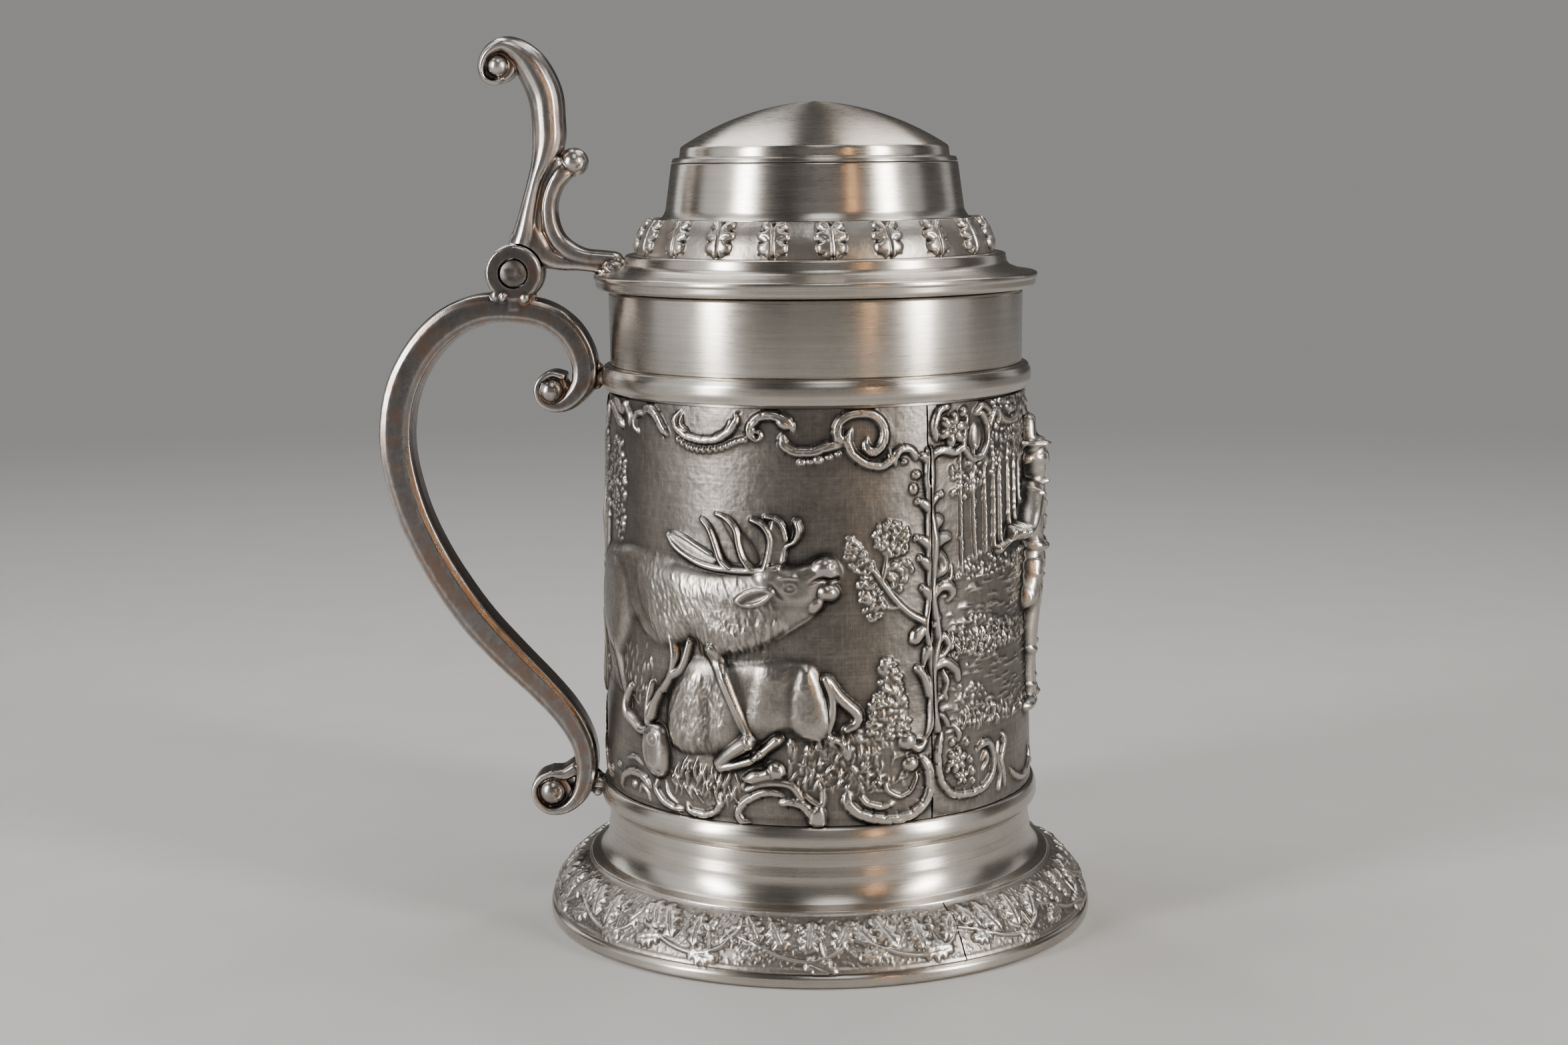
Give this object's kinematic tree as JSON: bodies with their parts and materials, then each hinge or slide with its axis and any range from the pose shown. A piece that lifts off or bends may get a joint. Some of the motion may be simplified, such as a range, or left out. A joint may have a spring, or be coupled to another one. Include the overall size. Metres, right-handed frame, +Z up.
{
  "type": "beer stein",
  "caption": "Lidded pewter beer stein with a relief-cast drum, flared foot, scroll handle and a hinged domed lid opened by a scroll thumblift.",
  "frame": {"origin": "centre of the flat underside of the foot, on the body's axis", "axes": "+Z up along the body's axis, handle and hinge on -X, the relief side seen in the picture faces -Y"},
  "size_m": [0.1422, 0.1098, 0.1745],
  "materials": {
    "pewter_turned": "antique pewter, fine concentric turning lines, semi-bright",
    "pewter_relief": "antique pewter casting, blackened hollows and rubbed bright high points",
    "pewter_cast": "polished cast pewter with brown patina",
    "pewter_pin": "dull dark steel pin",
    "pewter_inner": "plain turned pewter, satin"
  },
  "bodies": {
    "vessel": {"bottom_plate": "pewter_inner", "floor_disc": "pewter_inner", "inner_tube": "pewter_inner", "foot_rim": "pewter_turned", "foot_garland_left": "pewter_relief", "foot_garland_right": "pewter_relief", "foot_garland_back": "pewter_relief", "foot_cove": "pewter_turned", "lower_bead_ring": "pewter_turned", "relief_panel_stag": "pewter_relief", "relief_panel_hunter": "pewter_relief", "relief_panel_forest": "pewter_relief", "upper_bead_ring": "pewter_turned", "mouth_collar": "pewter_turned", "handle": "pewter_cast", "hinge_pin": "pewter_pin"},
    "lid": {"thumblift": "pewter_cast", "lid_flange": "pewter_turned", "lid_leaf_band": "pewter_relief", "lid_drum": "pewter_turned", "lid_dome": "pewter_turned"}
  },
  "joints": [
    {"name": "lid_hinge", "type": "hinge", "parent": "vessel", "child": "lid", "pos_m": [-0.0594, 0, 0.1291], "axis": [0, -1, 0], "range_deg": [0, 110]}
  ]
}
